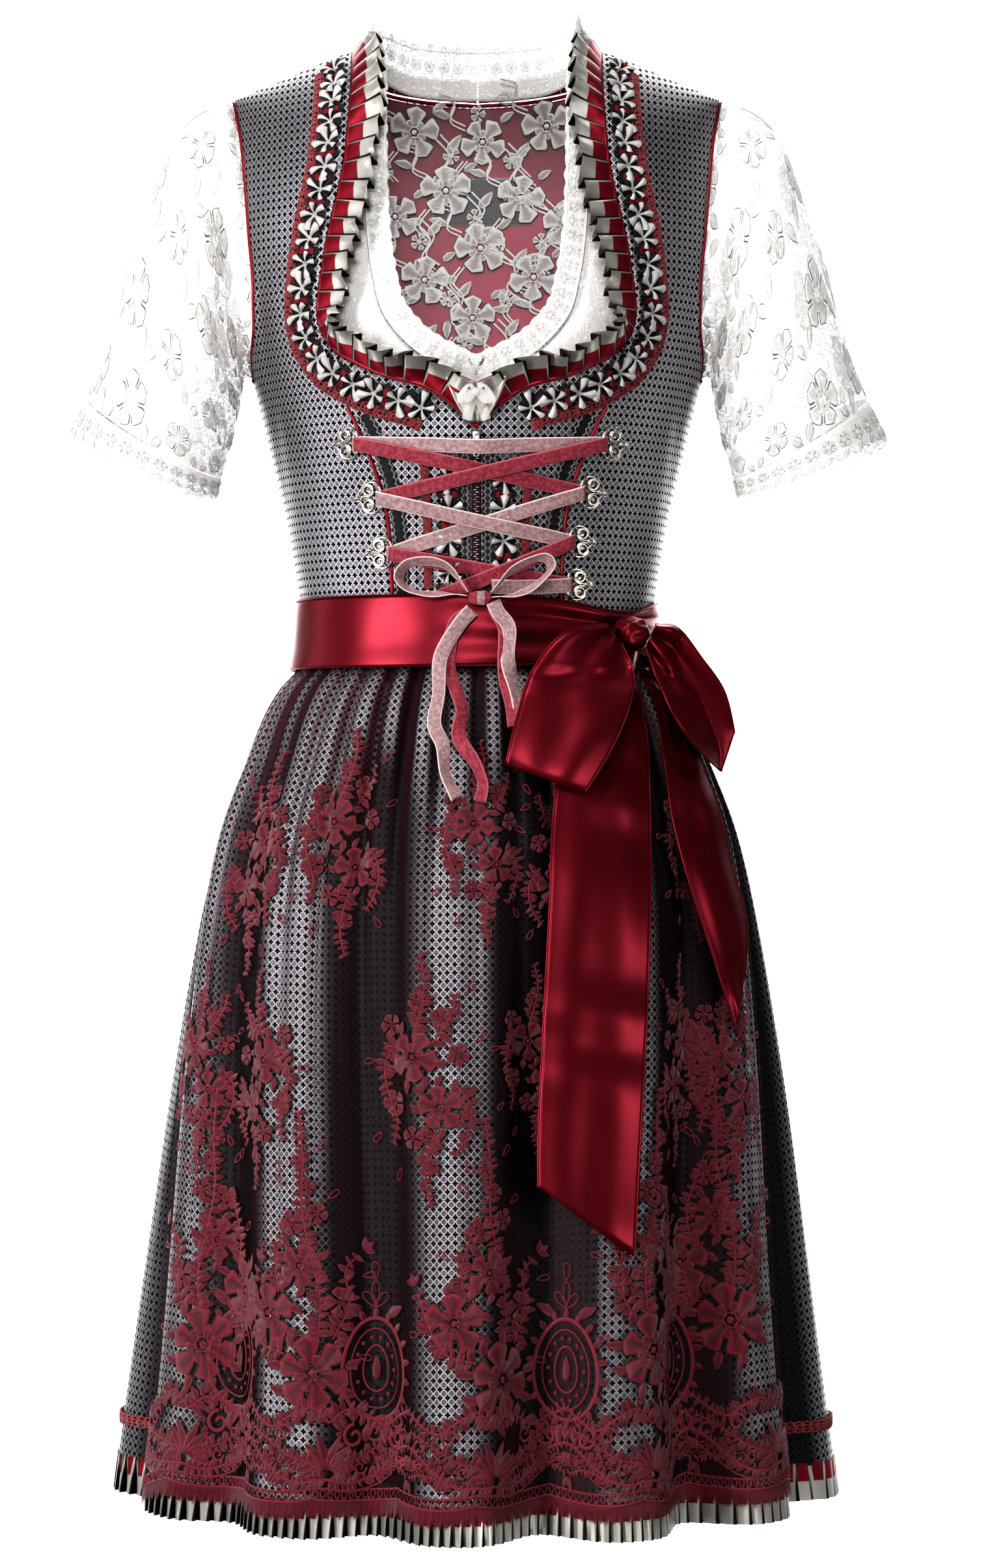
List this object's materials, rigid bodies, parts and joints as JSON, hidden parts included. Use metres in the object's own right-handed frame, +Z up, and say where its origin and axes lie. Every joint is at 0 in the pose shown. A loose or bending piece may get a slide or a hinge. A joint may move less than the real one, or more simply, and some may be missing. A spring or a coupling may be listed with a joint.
{
  "type": "dirndl with apron and blouse",
  "caption": "Folk dress filled out as when worn: laced jacquard bodice and pleated skirt over a lace blouse, with a sheer embroidered apron tied at one side.",
  "frame": {"origin": "midway between the shoulders, where the wearer carries the garment", "axes": "+Z up, -Y the garment's front, +X to the right as seen from the front"},
  "size_m": [0.5882, 0.4313, 1.0438],
  "materials": {
    "jacquard": "satin-figured jacquard, silver-lilac on black",
    "lining": "matt",
    "label": "woven, bare",
    "piping": "satin",
    "two_tone_ribbon": "satin, red and silver halves",
    "rosette_ribbon": "satin, silver, black and red",
    "gimp": "braided",
    "metal": "antique silver",
    "lacing": "velvet and organza",
    "lace": "cotton lace",
    "apron": "embroidered tulle",
    "satin": "satin"
  },
  "bodies": {
    "garment": {"bodice_front_left": "jacquard", "bodice_front_right": "jacquard", "stomacher_left": "jacquard", "stomacher_right": "jacquard", "bodice_back": "jacquard", "skirt_front": "jacquard", "skirt_back": "jacquard", "bodice_lining_back": "lining", "label": "label", "piping_neck": "piping", "piping_armhole_left": "piping", "piping_armhole_right": "piping", "piping_seam_left": "piping", "piping_seam_right": "piping", "ruffle_neck_left": "two_tone_ribbon", "ruffle_neck_right": "two_tone_ribbon", "hem_pleats_front": "two_tone_ribbon", "hem_pleats_back": "two_tone_ribbon", "rosettes_neck_left": "rosette_ribbon", "rosettes_neck_right": "rosette_ribbon", "rosettes_front_left": "rosette_ribbon", "rosettes_front_right": "rosette_ribbon", "gimp_neck_left": "gimp", "gimp_neck_right": "gimp", "gimp_front_left": "gimp", "gimp_front_right": "gimp", "gimp_hem": "gimp", "zip": "metal", "hook_left_1": "metal", "hook_left_2": "metal", "hook_left_3": "metal", "hook_right_1": "metal", "hook_right_2": "metal", "hook_right_3": "metal", "hook_right_4": "metal", "lacing": "lacing", "lacing_knot": "lacing", "lacing_loop_left": "lacing", "lacing_loop_right": "lacing", "lacing_end_pale_left": "lacing", "lacing_end_pale_right": "lacing", "lacing_end_red_left": "lacing", "lacing_end_red_right": "lacing", "blouse_front": "lace", "blouse_back": "lace", "sleeve_left": "lace", "sleeve_right": "lace", "cuff_left": "lace", "cuff_right": "lace", "blouse_neck_lace": "lace", "apron_panel": "apron", "apron_fringe": "apron", "apron_band": "satin", "bow_knot": "satin", "bow_loop_left": "satin", "bow_loop_right": "satin", "bow_tail_front": "satin", "bow_tail_back": "satin"},
    "zip_pull": {"zip_pull": "metal"}
  },
  "joints": [
    {"name": "zip_pull_hinge", "type": "hinge", "parent": "garment", "child": "zip_pull", "pos_m": [0, -0.12558, -0.2715], "axis": [-1, 0, 0], "range_deg": [0, 6]}
  ]
}
